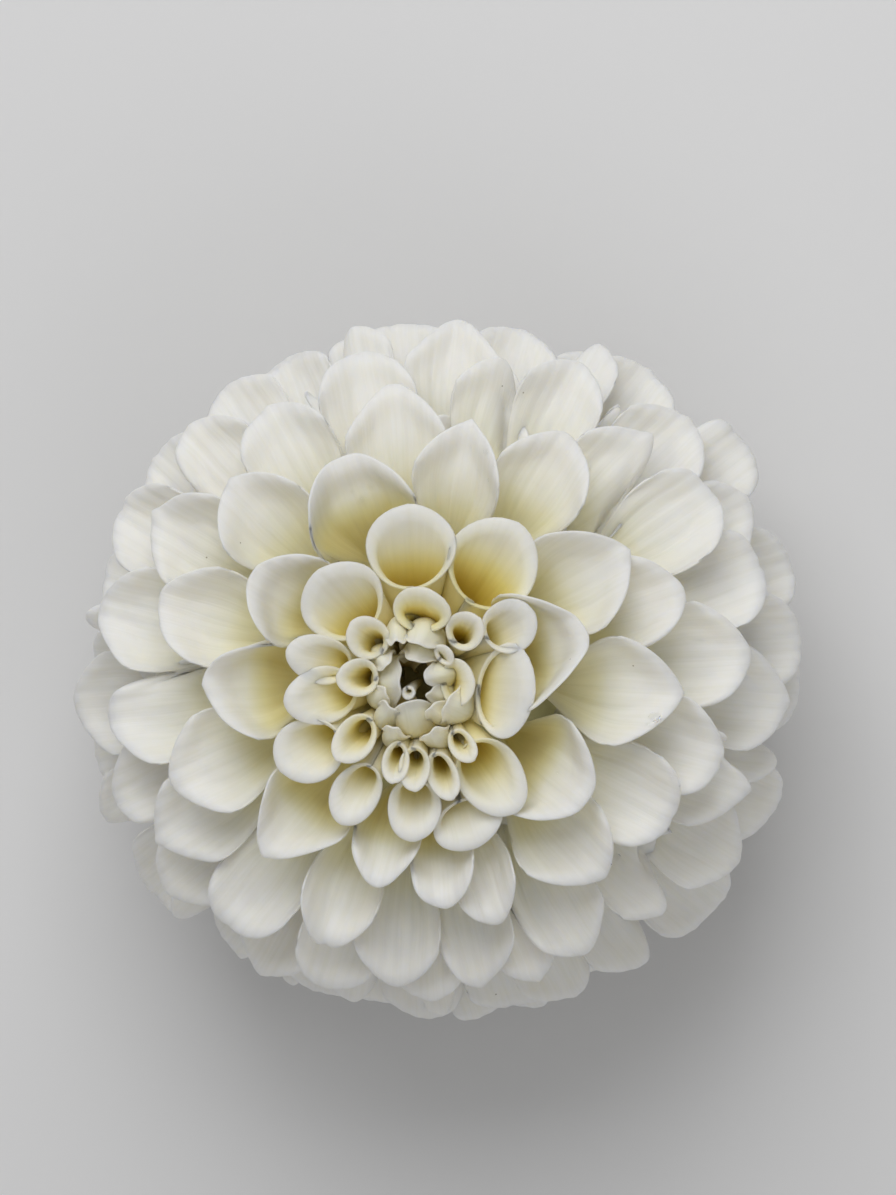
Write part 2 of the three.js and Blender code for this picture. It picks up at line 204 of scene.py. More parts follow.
# Shorter florets at the sides, where the shoulder and the rim leave room between them.
SIDE = [
    (305, 40.8, 11.5, 76), (290, 40.2, 11, 75), (276, 40, 11, 76), (262, 40, 11, 75), (248, 40.5, 11, 77),
    (232, 41, 11.5, 77), (212, 41, 11.5, 76), (142, 41.5, 12, 77), (122, 41, 12, 78), (108, 40.5, 12, 74),
]
print("florets of the rim and the sides:", len(RIM) + len(SIDE))

# %% [markdown]
# ## The habit of each ring
#
# Within a ring the petals are brothers: they open equally far and lean equally far. A few numbers hold that
# habit. `turn` says how far the root lies back towards the eye and `lean` how far the tip bends out, in
# degrees. `waist` and `mouth` say how steeply the flanks fold up in the middle and at the tip, and `cup`
# how many millimetres the tip itself turns up. `throat` is where along the petal its yellow base ends, and
# `yellow` how strong it is.
#
# Rolled petals have other numbers instead: `roll` is how far each side goes round, in degrees, `foot` the
# width of the tube's foot as a share of its mouth, and `sunk` how far the near edge of the mouth lies below
# the ball.
#
# The rings of the back hide from the camera, so an even spacing with a small seeded jitter is enough for
# them. `phase` turns a ring on by a share of one step, so that its petals cover the gaps of the last ring.
# The ring marked `level` has its tips evenly spaced, because the bloom lies on them. The `under` rings are
# petals cut `short`, which fill the depth between the others when one looks in from the side or below.

# %% The rings from the eye to the back
HABIT = ("turn", "lean", "waist", "mouth", "cup", "throat", "yellow")


def listed(name, florets, *habit):
    return dict(zip(HABIT, habit), name=name, florets=florets)


def spaced(name, count, phase, polar, width, *habit, **more):
    return dict(zip(HABIT, habit), name=name, count=count, phase=phase, polar=polar, width=width, **more)


RINGS = [
    dict(name="tube", florets=TUBES, rolled=True, turn=0, lean=8, roll=183, foot=0.5, sunk=0.6,
         throat=1.12, yellow=0.95),
    dict(name="cup", florets=CUPS, rolled=True, turn=8, lean=22, roll=181, foot=0.42, sunk=2.2,
         throat=0.97, yellow=1.0),
    # Name and florets, then turn, lean, waist, mouth, cup, throat and yellow.
    listed("young", YOUNG, 6, 42, 66, 46, 1.6, 0.95, 0.8),
    listed("mature", MATURE, 12, 50, 54, 38, 1.3, 0.9, 0.58),
    listed("wide", WIDE, 15, 50, 40, 29, 1.1, 0.88, 0.5),
    listed("shoulder", SHOULDER, 16, 48, 36, 26, 0.9, 0.8, 0.4),
    listed("rim", RIM, 17, 46, 34, 24, 0.7, 0.75, 0.35),
    # Name, count, phase, polar angle and width, then the same seven.
    spaced("back_a", 18, 0, 108, 13, 17, 44, 45, 28, 0.5, 0.6, 0.2),
    spaced("back_b", 18, 0.5, 118, 13, 17, 42, 45, 28, 0.4, 0.6, 0.2),
    spaced("back_c", 16, 0.1, 128, 12.5, 18, 40, 45, 28, 0.4, 0.6, 0.25),
    spaced("back_d", 14, 0.6, 139, 12, 19, 36, 42, 28, 0.3, 0.6, 0.3),
    spaced("back_e", 12, 0.2, 150, 11, 22, 32, 40, 24, 0, 0.6, 0.35, level=True),
    listed("side", SIDE, 17, 40, 38, 26, 0.6, 0.6, 0.25),
    spaced("under_a", 15, 0.3, 57, 11, 14, 44, 58, 40, 0.8, 0.7, 0.35, short=0.9),
    spaced("under_b", 18, 0.8, 72, 11.5, 16, 42, 50, 34, 0.6, 0.65, 0.3, short=0.9),
    spaced("under_c", 18, 0.2, 88, 11.5, 17, 40, 46, 30, 0.5, 0.6, 0.3, short=0.9),
    spaced("under_d", 15, 0.4, 124, 11, 16, 34, 40, 26, 0.2, 0.6, 0.3, short=0.84),
    spaced("under_e", 13, 0.1, 139, 10, 14, 24, 36, 22, 0.1, 0.6, 0.35, short=0.8),
    spaced("under_f", 11, 0.7, 152, 9, 10, 8, 30, 18, 0, 0.6, 0.4, short=0.78),
]
print("rings:", len(RINGS))

# %% [markdown]
# ## Small differences that come out the same each time
#
# Jitter has to be random to the eye and fixed for the file. This little generator is a common one of 32
# bits (mulberry32). The solid model draws from the same one with the same seed, so each fine petal below
# grows exactly where its plain solid stands.

# %% A seeded draw
SEED = 7
WORD = 0xFFFFFFFF  # the largest number of 32 bits


def draws(seed):
    """Returns a function that draws evenly from -spread to spread."""
    state = seed

    def draw(spread):
        nonlocal state
        state = (state + 0x6D2B79F5) & WORD
        t = (state ^ (state >> 15)) * (state | 1) & WORD
        t ^= (t + ((t ^ (t >> 7)) * (t | 61) & WORD)) & WORD
        return ((t ^ (t >> 14)) / 2**32 * 2 - 1) * spread

    return draw


draw = draws(SEED)
# Seeding the solid model's generator uses up its first draw, so it is used up here too.
print("first draw:", round(draw(1), 4))

# %% Place the florets of every ring
BEARING_JITTER = 0.15  # as a share of the step from one floret to the next
REACH_JITTER, WIDTH_JITTER = 0.8, 0.5  # mm
BEND_JITTER, YAW_JITTER = 4, 2  # degrees


def stands_of(ring):
    """Bearing, distance from the axis and width of each floret of a ring that isn't listed."""
    jitter = 0 if ring.get("level") else 1
    stands = []
    for i in range(ring["count"]):
        bearing = (i + ring["phase"] + draw(BEARING_JITTER) * jitter) * 360 / ring["count"]
        reach = on_ball(ring["polar"])[0] + draw(REACH_JITTER) * jitter
        stands.append((bearing, reach, ring["width"] + draw(WIDTH_JITTER)))
    return stands


def ring_of(ring):
    """The petals of one ring, each with its own root, tip and headings."""
    rolled = ring.get("rolled", False)
    placed = []
    for number, (bearing, reach, width, *more) in enumerate(ring.get("florets") or stands_of(ring)):
        own_polar = more[0] if more and not rolled else ring.get("polar")
        tip_polar = own_polar or polar_of(reach)
        bend = 0 if ring.get("level") else draw(BEND_JITTER)
        tip_height = mouth_level(reach) if rolled else on_ball(tip_polar)[1]
        placed.append(dict(
            ring, name=f"{ring['name']}_{number + 1:02d}", bearing=bearing, width=width,
            root=on_core(tip_polar - ring["turn"]) * ROOT_SHARE,
            tip=np.array([reach, tip_height]) * ring.get("short", 1),
            start=tip_polar - ring["turn"], end=tip_polar + ring["lean"] + bend, yaw=draw(YAW_JITTER),
            depth=more[0] if rolled else None, curl=more[1] if rolled else None,
        ))
    return placed


petals = [petal for ring in RINGS for petal in ring_of(ring)]
print("petals placed:", len(petals))

# %% [markdown]
# ## One petal
#
# A petal can be sculpted, or bent from a flat outline with modifiers, but a sweep says best how it grows.
# Its midrib is one smooth curve from the root to the tip. Across the midrib lies a folded section: the
# floor of the spoon, a crease on each side, and a flank that rises from each crease. A rolled petal bends
# evenly all the way round instead, so its section closes into an oval. The lines of the mesh run along the
# petal and end where its outline is, so the tip is round and the edge follows the mesh.

# %% The midrib
BEND = 0.42  # length of the curve's handles, as a share of the petal's reach


def midrib(petal, along):
    """Places and directions on the petal's curve, a cubic Bezier, as distance from the axis and height."""
    root, tip = petal["root"], petal["tip"]
    handle = BEND * np.linalg.norm(tip - root)
    a, b = root + heading(petal["start"]) * handle, tip - heading(petal["end"]) * handle
    t = along[..., None]
    place = (1 - t) ** 3 * root + 3 * (1 - t) ** 2 * t * a + 3 * (1 - t) * t**2 * b + t**3 * tip
    way = (1 - t) ** 2 * (a - root) + 2 * (1 - t) * t * (b - a) + t**2 * (tip - b)
    return place, way / np.linalg.norm(way, axis=-1, keepdims=True)


halfway = midrib(petals[-1], np.array([0.5]))[0][0]
print("middle of the last petal's midrib, mm:", [round(float(c), 1) for c in halfway])

# %% [markdown]
# The folded section is found by walking outwards from the midrib in small steps. Each step turns a little
# more, and the sum of the steps is the place on the section. The walk keeps the true width of the petal
# however far it is folded, as a strip of paper does.

# %% The folded section
STEPS = 16
IN_CREASE = 0.75  # share of the fold that lies in the crease, the rest is spread evenly
CREASE = 0.36  # the floor starts to bend up at this share of the half width
CREASE_AT_TIP = 0.28  # how much nearer to the midrib the creases come at the tip


def smooth(low, high, value):
    """0 at low, 1 at high, and a soft step between them."""
    t = np.clip((value - low) / (high - low), 0, 1)
    return t * t * (3 - 2 * t)


def folded(share, fold, crease, spread):
    """Walks out to a share of the half width, and returns how far across and how far up it gets."""
    across, up = np.zeros_like(share), np.zeros_like(share)
    for step in range(STEPS):
        here = share * (step + 0.5) / STEPS
        bend = IN_CREASE * smooth(crease, crease + spread, here) + (1 - IN_CREASE) * here
        across += np.cos(fold * bend) * share / STEPS
        up += np.sin(fold * bend) * share / STEPS
    return across, up


folded_half = folded(np.ones(1), math.radians(60), CREASE, 0.15)[0][0]
print("share of its width that a petal keeps when its flanks fold up by 60 degrees:", round(folded_half, 2))

# %% The lines of a petal
ROWS, COLUMNS = 36, 45


def grids(tip_crowding=1.3, side_crowding=0.5):
    """Shares across, from -1 to 1, and along, from 0 to 1, that lie closer together at the edge."""
    grid = np.linspace(-1, 1, COLUMNS)
    u = np.tile((1 - side_crowding) * grid + side_crowding * np.sin(grid * math.pi / 2), (ROWS, 1))
    v = np.tile(1 - (1 - np.linspace(0, 1, ROWS)) ** tip_crowding, (COLUMNS, 1)).T
    return u, v


print("points on one face of a petal:", grids()[0].size)

# %% The outline of an open petal
TIP_ROUNDNESS = (2.0, 2.6)  # 2 is an ellipse, more is squarer
POINTED = (0.15, 0.85)  # 0 is a round tip, 1 a sharp one
TIP_DEPTH = (0.85, 1.05)  # how long the tip's outline is, as a share of half the width
NOTCH = (-0.2, 0.3)  # mm, a small notch at the very tip, or a beak below 0
UNEVEN = 0.15  # mm, how far the outline swings to each side of its curve


def each_side(rng, side, low, high):
    """One draw for each side of the petal."""
    return np.where(side > 0, rng.uniform(low, high), rng.uniform(low, high))


def tip_outline(petal, rng, u, reach):
    """Where each line of the petal ends, as a share of its reach."""
    share, side = np.abs(u), np.sign(u)
    power, pointed = rng.uniform(*TIP_ROUNDNESS), rng.uniform(*POINTED)
    round_tip = 1 - np.clip(1 - share**power, 0, 1) ** (1 / power)
    tip_depth = rng.uniform(*TIP_DEPTH) * petal["width"] / 2
    cut = (1 - pointed) * round_tip + pointed * share**1.3
    notch = rng.uniform(*NOTCH) * np.exp(-((u / 0.09) ** 2))
    notch = notch + UNEVEN * each_side(rng, side, -1, 1) * np.sin(TAU * share)
    return 1 - (tip_depth * cut + notch) / reach


# %% [markdown]
# With the outline known, the spoon is the folded section at every place along it, and then the small forms
# that make it a living thing: a waved flank, a tip that cups up, a ridge on each crease, a few soft ribs
# and an edge that rolls back. Each side has its own draws, because no petal is the same on both.

# %% An open spoon
FOOT_WIDTH = 0.2  # width of the petal's foot, as a share of its full width
FULL_FROM = 0.77  # the share of its reach from which it has its full width
CUPPED = 4.5  # mm of the tip that are cupped up
FLANK_WAVE = 0.3  # mm
RIDGE = 0.14  # mm, how high a crease stands out
RIBS, RIB_HEIGHT = 7, 0.05
ROLLED_RIM = 0.4  # mm, how far the very edge bends down again
RIM_WIDTH = 1.5  # mm of the edge that bend down


def spoon(petal, rng):
    """How far along, across and up each point of an open petal lies, and its distance from the edge."""
    u, v = grids()
    share, side = np.abs(u), np.sign(u)
    reach = np.linalg.norm(petal["tip"] - petal["root"])
    length = tip_outline(petal, rng, u, reach)
    along = v * length

    waist = petal["waist"] * each_side(rng, side, 0.8, 1.2)
    mouth = petal["mouth"] * each_side(rng, side, 0.5, 1.45)
    crease = CREASE + each_side(rng, side, -0.08, 0.1) - CREASE_AT_TIP * smooth(0.6, 1, along)
    spread = each_side(rng, side, 0.08, 0.24)
    across, up = folded(share, np.radians(waist + (mouth - waist) * along), crease, spread)
    widest_fold = np.radians(0.3 * waist + 0.7 * mouth)
    widest = folded(np.ones_like(u), widest_fold, crease[0], spread)[0]
    opening = FOOT_WIDTH + (1 - FOOT_WIDTH) * smooth(0.1, FULL_FROM, along)
    half = petal["width"] / 2 / widest * opening

    from_edge = (length - along) * reach
    wave = np.sin(TAU * (along * rng.uniform(1.5, 2.5) + rng.uniform(0, 1) + 0.25 * side))
    y = up * half + FLANK_WAVE * share**4 * smooth(0.4, 0.9, along) * wave
    y = y + petal["cup"] * smooth(CUPPED, 0, from_edge) ** 1.5
    ridge = np.exp(-(((share - crease - 0.5 * spread) / 0.06) ** 2)) * smooth(0.35, 0.6, along)
    y = y + RIDGE * each_side(rng, side, -0.2, 1) * ridge * smooth(1, 0.8, along)
    y = y + RIB_HEIGHT * np.cos(u * RIBS * math.pi + rng.uniform(0, TAU)) * smooth(0.2, 0.6, along)
    rim = np.minimum((1 - share) * half, from_edge)
    y = y - ROLLED_RIM * np.clip(1 - rim / RIM_WIDTH, 0, 1) ** 2
    return along, side * across * half, y, u, rim


# %% [markdown]
# A rolled petal is a tube that widens to an oval mouth. The mouth lies in the surface of the ball, so its
# near edge is found there first, and the tube is made wide enough and cut slanting enough to reach it. Its
# two side edges meet at the near side, and one of them tucks a little way into the other.

# %% A rolled tube or cup
TUCK = 0.1  # how much smaller the inner one of the two meeting sides is rolled
CURL_IN = 0.3  # and how much more it shrinks with each half turn that it is rolled on
CURL_SUNK = 0.3  # how much lower its end is cut there
LIP = 1.8  # mm of the wall that roll outwards at the mouth
LIP_OUT = 0.5  # how far they roll out, as a share of their length
LIP_BACK = 0.25  # and how far they bend back
FULL_LIP_WIDTH = 6  # mm, narrower florets have a smaller lip
WOBBLES = (0.05, 0.03)  # how far the oval is drawn out towards two and towards three sides


def tube(petal, rng):
    u, v = grids(tip_crowding=1.8)
    root, tip = petal["root"], petal["tip"]
    reach = np.linalg.norm(tip - root)
    near = tip[0] - petal["depth"]
    to_near = np.array([near, mouth_level(abs(near)) - petal["sunk"]]) - tip
    way = heading(petal["end"])
    lip = LIP * min(1, petal["width"] / FULL_LIP_WIDTH)
    roll_out = LIP_OUT * lip
    high = to_near @ np.array([-way[1], way[0]]) / 2
    slant = -to_near @ way / reach

    tucked = np.sign(petal["curl"]) * u > 0
    angle = u * np.radians(petal["roll"] + np.where(tucked, abs(petal["curl"]), 0))
    inner = 1 - np.where(tucked, TUCK + CURL_IN * np.clip(np.abs(angle) / math.pi - 1, 0, 2), 0)
    length = 1 - slant * (1 - np.cos(angle)) / 2 - CURL_SUNK * smooth(math.pi, 2 * math.pi, np.abs(angle))
    along = v * length
    from_edge = (length - along) * reach
    wide, deep = petal["width"] / 2 - roll_out, high - roll_out
    open_up = (petal["foot"] + (1 - petal["foot"]) * smooth(0.1, 1, along / length)) * inner
    wobble = 1 + WOBBLES[0] * np.sin(2 * angle + rng.uniform(0, TAU))
    wobble = wobble + WOBBLES[1] * np.sin(3 * angle + rng.uniform(0, TAU))
    at_lip = np.clip(1 - from_edge / lip, 0, 1) ** 2
    x = (wide * open_up * wobble + roll_out * at_lip) * np.sin(angle)
    y = high - (deep * open_up * wobble + roll_out * at_lip) * np.cos(angle)
    along = along - LIP_BACK * lip / reach * at_lip**2
    return along, x, y, u, np.minimum((1 - np.abs(u)) * petal["width"] * 1.5, from_edge)


# %% [markdown]
# The closed florets of the eye are hoods: rolled like a tube, but bent over at the top, with a round tip
# and a faint keel along the back.

# %% A hood
HOOD_CUT = (0.34, 0.5)  # how much shorter a hood is at its sides than along its back
HOOD_LOBES = (0, 0.02)  # how far its edge is waved, as a share of its reach
HOOD_TAPER = (0.2, 0.45)  # how much it narrows again towards its tip
HOOD_KEEL = (0, 0.35)  # mm
HOOD_LIP = 0.5  # mm
HOOD_FLATNESS = 0.9  # its depth as a share of its width


def hood_form(petal, rng):
    u, v = grids(tip_crowding=1.6)
    share = np.abs(u)
    reach = np.linalg.norm(petal["tip"] - petal["root"])
    lobes = rng.uniform(*HOOD_LOBES) * np.cos(u * TAU * rng.uniform(0.9, 1.5) + rng.uniform(-1, 1))
    length = 1 - rng.uniform(*HOOD_CUT) * share**2.2 - lobes
    along = v * length
    from_edge = (length - along) * reach
    angle = u * np.radians(petal["waist"] + (petal["mouth"] - petal["waist"]) * along)
    body = (0.5 + 0.5 * smooth(0, 0.7, along)) * (1 - rng.uniform(*HOOD_TAPER) * smooth(0.7, 1, along))
    crease = 1 + 0.1 * np.cos(angle * 2 + rng.uniform(0, TAU))
    crease = crease + 0.07 * np.cos(angle * 3 + rng.uniform(0, TAU))
    keel = rng.uniform(*HOOD_KEEL) * np.exp(-((u / 0.16) ** 2)) * smooth(0.4, 0.9, along)
    lip = HOOD_LIP * np.clip(1 - from_edge / 1.4, 0, 1) ** 2
    wide = petal["width"] / 2 * body
    deep = wide * HOOD_FLATNESS
    x = (wide * crease + lip) * np.sin(angle)
    y = deep - (deep * crease + lip) * np.cos(angle) - keel
    return along, x, y, u, np.minimum((1 - share) * petal["width"], from_edge)


# %% Lay the form along the midrib
MOST_TWIST = 5  # degrees from the root to the tip


def sheet(petal, rng):
    """Points of the petal's middle surface, rows by columns, with the values that the skin needs."""
    along, x, y, u, rim = petal["form"](petal, rng)
    place, way = midrib(petal, along)
    reach = np.linalg.norm(petal["tip"] - petal["root"])
    twist = math.radians(rng.uniform(-MOST_TWIST, MOST_TWIST)) * along
    x, y = x * np.cos(twist) - y * np.sin(twist), x * np.sin(twist) + y * np.cos(twist)
    drift = math.tan(math.radians(petal["yaw"])) * reach * along**2
    outward, upward = place[..., 0] - way[..., 1] * y, place[..., 1] + way[..., 0] * y
    flat = np.stack([outward, x + drift, upward], axis=-1)
    turn = math.radians(petal["bearing"])
    cos, sin = math.cos(turn), math.sin(turn)
    return flat @ np.array([[cos, sin, 0], [-sin, cos, 0], [0, 0, 1]]), dict(along=along, across=u, rim=rim)


# %% [markdown]
# Real petals press against each other and give way. The same is done here with a map of the ball: for each
# direction from its middle, the map holds the lowest petal met so far. The petals settle one after another
# from the eye outwards, and a new one is pushed down wherever it would come through those already there.
# The push is spread over the petal's neighbouring points, so that the petal stays smooth.

# %% Let a petal settle below the others
MAP_STEP = 1.5  # degrees
FREE_FOOT = 0.28  # this share of a petal, from its foot up, presses on nothing
CLEARANCE = 0.016  # as a share of the ball's radius
MOST_PUSHED = 0.15  # the same share
SPREADING_ROUNDS = 24
NOTHING_MET = 9.0  # far outside the ball
lowest = np.full((int(180 / MAP_STEP) + 1, int(360 / MAP_STEP)), NOTHING_MET)


def on_map(points):
    """Height over the middle of the ball, with 1 on the ball, and the row and column of the map."""
    depth = np.where(points[..., 2] > 0, FRONT_DEPTH, BACK_DEPTH)
    scaled = points / np.stack([np.full_like(depth, BLOOM_RADIUS)] * 2 + [depth], axis=-1)
    height = np.linalg.norm(scaled, axis=-1)
    polar = np.degrees(np.arccos(np.clip(scaled[..., 2] / height, -1, 1)))
    bearing = np.degrees(np.arctan2(scaled[..., 1], scaled[..., 0])) % 360
    return height, polar / MAP_STEP, bearing / MAP_STEP


def read_map(polar, bearing):
    """The lowest of the four cells round each place."""
    row, column = np.floor(polar).astype(int), np.floor(bearing).astype(int)
    rows, columns = lowest.shape
    found = [
        lowest[np.clip(row + i, 0, rows - 1), (column + j) % columns]
        for i in (0, 1) for j in (0, 1)
    ]
    return np.min(found, axis=0)


def settle(points, along):
    height, polar, bearing = on_map(points)
    limit = read_map(polar, bearing) - CLEARANCE
    push = np.clip(height - limit, 0, MOST_PUSHED)
    for _ in range(SPREADING_ROUNDS):
        around = np.pad(push, 1, mode="edge")
        mean = (around[:-2, 1:-1] + around[2:, 1:-1] + around[1:-1, :-2] + around[1:-1, 2:]) / 4
        push = np.maximum(push, mean)
    pushed = height - push
    points = points * (pushed / height)[..., None]
    pressing = along > FREE_FOOT
    rows, columns = lowest.shape
    row = np.clip(np.round(polar).astype(int), 0, rows - 1)
    column = np.round(bearing).astype(int) % columns
    np.minimum.at(lowest, (row[pressing], column[pressing]), pushed[pressing])
    return points


print("cells of the map:", lowest.size)

# %% [markdown]
# A sheet has no thickness, and a petal does: about half a millimetre, thinner at its edge. The sheet's
# points are moved apart along their normals to make an inner and an outer face, and one more loop of points
# round the edge closes them with a soft rim. A Solidify modifier would do nearly the same, but it can't
# thin the rim and round it at once.

# %% Give the sheet its thickness
THICK, THIN = 0.55, 0.26
THINS_OVER = 2  # mm from the edge


def edge_loop(rows, columns):
    """Row and column of each point round the edge of a sheet, in order."""
    loop = [(0, c) for c in range(columns)] + [(r, columns - 1) for r in range(1, rows)]
    loop += [(rows - 1, c) for c in range(columns - 2, -1, -1)]
    loop += [(r, 0) for r in range(rows - 2, 0, -1)]
    return np.array(loop)


def closed_blade(points, rim, thick=THICK, thin=THIN):
    """The points and faces of a closed blade, and the points of its edge loop as numbers of the sheet."""
    rows, columns = points.shape[:2]
    normal = np.cross(np.gradient(points, axis=1), np.gradient(points, axis=0))
    normal /= np.linalg.norm(normal, axis=-1, keepdims=True)
    half = (thin + (thick - thin) * smooth(0, THINS_OVER, rim))[..., None] / 2
    loop = edge_loop(rows, columns)
    inner = np.clip(loop, 1, [rows - 2, columns - 2])
    edge, within = points[tuple(loop.T)], points[tuple(inner.T)]
    out = edge - within
    out /= np.linalg.norm(out, axis=-1, keepdims=True)
    lip = edge + out * half[tuple(loop.T)]
    faces_apart = [(points + normal * half).reshape(-1, 3), (points - normal * half).reshape(-1, 3)]
    verts = np.concatenate([*faces_apart, lip])
    ids = np.arange(rows * columns).reshape(rows, columns)
    quads = np.stack([ids[:-1, :-1], ids[:-1, 1:], ids[1:, 1:], ids[1:, :-1]], axis=-1).reshape(-1, 4)
    upper = ids[tuple(loop.T)]
    under, middle = upper + rows * columns, np.arange(len(loop)) + 2 * rows * columns
    bands = [
        np.stack([low, np.roll(low, -1), np.roll(high, -1), high], axis=-1)
        for low, high in ((middle, upper), (under, middle))
    ]
    return verts, np.concatenate([quads, quads[:, ::-1] + rows * columns, *bands]), upper


print("points round the edge of a petal:", len(edge_loop(ROWS, COLUMNS)))

# %% Make a mesh object from points in millimetres


def make_piece(name, verts, faces, values=None):
    mesh = bpy.data.meshes.new(name)
    mesh.from_pydata([tuple(p) for p in verts * MM + np.array(centre)], [], [tuple(f) for f in faces])
    mesh.polygons.foreach_set("use_smooth", [True] * len(mesh.polygons))
    for key, value in (values or {}).items():
        attribute = mesh.attributes.new(key, "FLOAT", "POINT")
        attribute.data.foreach_set("value", np.ascontiguousarray(value, dtype=np.float32))
    mesh.validate()
    piece = bpy.data.objects.new(name, mesh)
    bpy.context.scene.collection.objects.link(piece)
    return piece


def belongs(piece, node, material):
    """Gives a piece its material, joins it to the bloom's body and hides the solid that it stands for."""
    piece.data.materials.append(material)
    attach(piece, "root")
    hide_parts(node)


# %% [markdown]
# The bloom lies on its lowest petals. They are soft, so what would reach below the table is pressed flat
# on it. The values that the skin needs are stored on the mesh here: how far along and across each point
# lies, how near it is to the edge, which face it is on, and the petal's own tone.

# %% Make one petal
TABLE = -centre.z / MM  # height of the table below the widest level


def make_petal(petal, rng, material, node):
    points, grown = sheet(petal, rng)
    if petal.get("settles", True):
        points = settle(points, grown["along"])
    points[..., 2] = np.maximum(points[..., 2], TABLE + THIN)
    verts, faces, upper = closed_blade(points, grown["rim"], thin=petal.get("lip", THIN))
    values = {}
    for key, grid in grown.items():
        flat = grid.ravel()
        values[key] = np.concatenate([flat, flat, flat[upper]])
    count = grown["along"].size
    values["inside"] = np.concatenate([np.zeros(count), np.ones(count), np.full(len(upper), 0.5)])
    values["throat"] = np.full(len(verts), petal["throat"] + rng.uniform(-0.03, 0.03))
    values["yellow"] = np.full(len(verts), petal["yellow"])
    values["tone"] = np.full(len(verts), rng.uniform(0, 1))
    belongs(make_piece(petal["name"], verts, faces, values), node, material)


print("height of the table, mm:", round(TABLE, 2))

# %% [markdown]
# ## The petal's skin
#
# A white petal is never plain white. It is a wet, clear tissue full of air, so light goes into it, spreads
# and comes out again on both sides: that is subsurface scattering, over about a millimetre. The base keeps
# the yellow-green of the plant and fades to cream and white towards the tip; in the rolled cups the base is
# also painted darker, as painted shade deep in the cup. Fine parallel veins run along it, there are faint
# cloudy patches and a few specks of dust, and a painted highlight makes the edge paler. The yellow and the
# veins follow values that are stored on the mesh, so they grow with the petal and need no unwrapping.

# %% Helpers for materials


def blank(name):
    """A new material with its node tree and its shader."""
    material = bpy.data.materials.new(name)
    material.use_nodes = True
    return material, material.node_tree, material.node_tree.nodes["Principled BSDF"]


def feed(tree, socket, value):
    """Gives an input a fixed value, or joins it to another node's output."""
    if isinstance(value, bpy.types.NodeSocket):
        tree.links.new(value, socket)
    else:
        socket.default_value = (*value, 1) if isinstance(value, tuple) and len(value) == 3 else value


def add(tree, kind, inputs=None, **options):
    node = tree.nodes.new(kind)
    for key, value in options.items():
        setattr(node, key, value)
    for key, value in (inputs or {}).items():
        feed(tree, node.inputs[key], value)
    return node


def value_of(tree, name):
    """A value that is stored on the mesh."""
    return add(tree, "ShaderNodeAttribute", attribute_name=name).outputs["Fac"]


def times(tree, a, b):
    return add(tree, "ShaderNodeMath", {0: a, 1: b}, operation="MULTIPLY").outputs[0]


def minus(tree, a, b):
    return add(tree, "ShaderNodeMath", {0: a, 1: b}, operation="SUBTRACT").outputs[0]


def between(tree, value, low, high):
    """0 at low, 1 at high, and a soft step between them."""
    inputs = {0: value, 1: low, 2: high}
    return add(tree, "ShaderNodeMapRange", inputs, interpolation_type="SMOOTHSTEP").outputs[0]


# %% Helpers for colours and patterns


def ramp(tree, factor, stops):
    node = add(tree, "ShaderNodeValToRGB", {"Fac": factor})
    elements = node.color_ramp.elements
    for position, colour in stops[1:-1]:
        elements.new(position).color = (*colour, 1)
    for element, (position, colour) in ((elements[0], stops[0]), (elements[-1], stops[-1])):
        element.position, element.color = position, (*colour, 1)
    return node.outputs["Color"]


def tint(tree, kind, factor, a, b):
    inputs = {0: factor, 6: a, 7: b}
    return add(tree, "ShaderNodeMix", inputs, data_type="RGBA", blend_type=kind).outputs[2]


def noise(tree, place, scale, detail=3.0):
    inputs = {"Vector": place, "Scale": scale, "Detail": detail}
    return add(tree, "ShaderNodeTexNoise", inputs).outputs["Fac"]


def object_place(tree):
    return add(tree, "ShaderNodeTexCoord").outputs["Object"]


def bump(tree, strength, distance, height):
    inputs = {"Strength": strength, "Distance": distance, "Height": height}
    return add(tree, "ShaderNodeBump", inputs).outputs[0]


# %% The colours of a petal, from its base to its tip
PETAL_STOPS = [
    (0, (0.70, 0.58, 0.20)), (0.3, (0.87, 0.79, 0.47)),
    (0.62, (0.92, 0.888, 0.74)), (1, (0.93, 0.905, 0.84)),
]
# The cups' own mustard yellow at the base, also painted darker as shade deep inside the cups.
CREAM_STOPS_WITH_PAINTED_SHADE = [
    (0, (0.66, 0.52, 0.10)), (0.3, (0.84, 0.72, 0.28)),
    (0.62, (0.92, 0.84, 0.57)), (1, (0.93, 0.90, 0.80)),
]
BUD_STOPS = [
    (0, (0.90, 0.70, 0.28)), (0.3, (0.97, 0.82, 0.46)),
    (0.62, (0.98, 0.90, 0.63)), (1, (0.98, 0.94, 0.78)),
]


def base_colour(tree, stops, depth):
    """Yellow from the petal's base to its throat, fading over the depth, and weaker on the outer face; the
    cream stops also paint shade into the base.
    """
    throat = value_of(tree, "throat")
    base = between(tree, value_of(tree, "along"), throat, minus(tree, throat, depth))
    strength = between(tree, value_of(tree, "inside"), -1.4, 1.0)
    amount = times(tree, value_of(tree, "yellow"), strength)
    return ramp(tree, minus(tree, 1.0, times(tree, base, amount)), stops)


# %% Veins, clouds, a painted rim highlight and specks
VEINS_ACROSS, VEINS_ALONG = 14.0, 1.6  # how fine the pattern is each way
VEIN_SHADE = (0.945, 0.945, 0.915)
CLOUD_SCALE, CLOUD_SHADE = 160.0, (0.93, 0.925, 0.935)
PAINTED_RIM_HIGHLIGHT = (0.94, 0.93, 0.89)
SPECK_SCALE, SPECK_COLOUR = 420.0, (0.30, 0.26, 0.2)


def vein_pattern(tree):
    """Noise that is drawn out along the petal. Its third direction makes each petal's different."""
    strands = add(tree, "ShaderNodeCombineXYZ", {
        0: times(tree, value_of(tree, "across"), VEINS_ACROSS),
        1: times(tree, value_of(tree, "along"), VEINS_ALONG),
        2: times(tree, value_of(tree, "tone"), 40.0),
    }).outputs[0]
    return noise(tree, strands, 1.0)


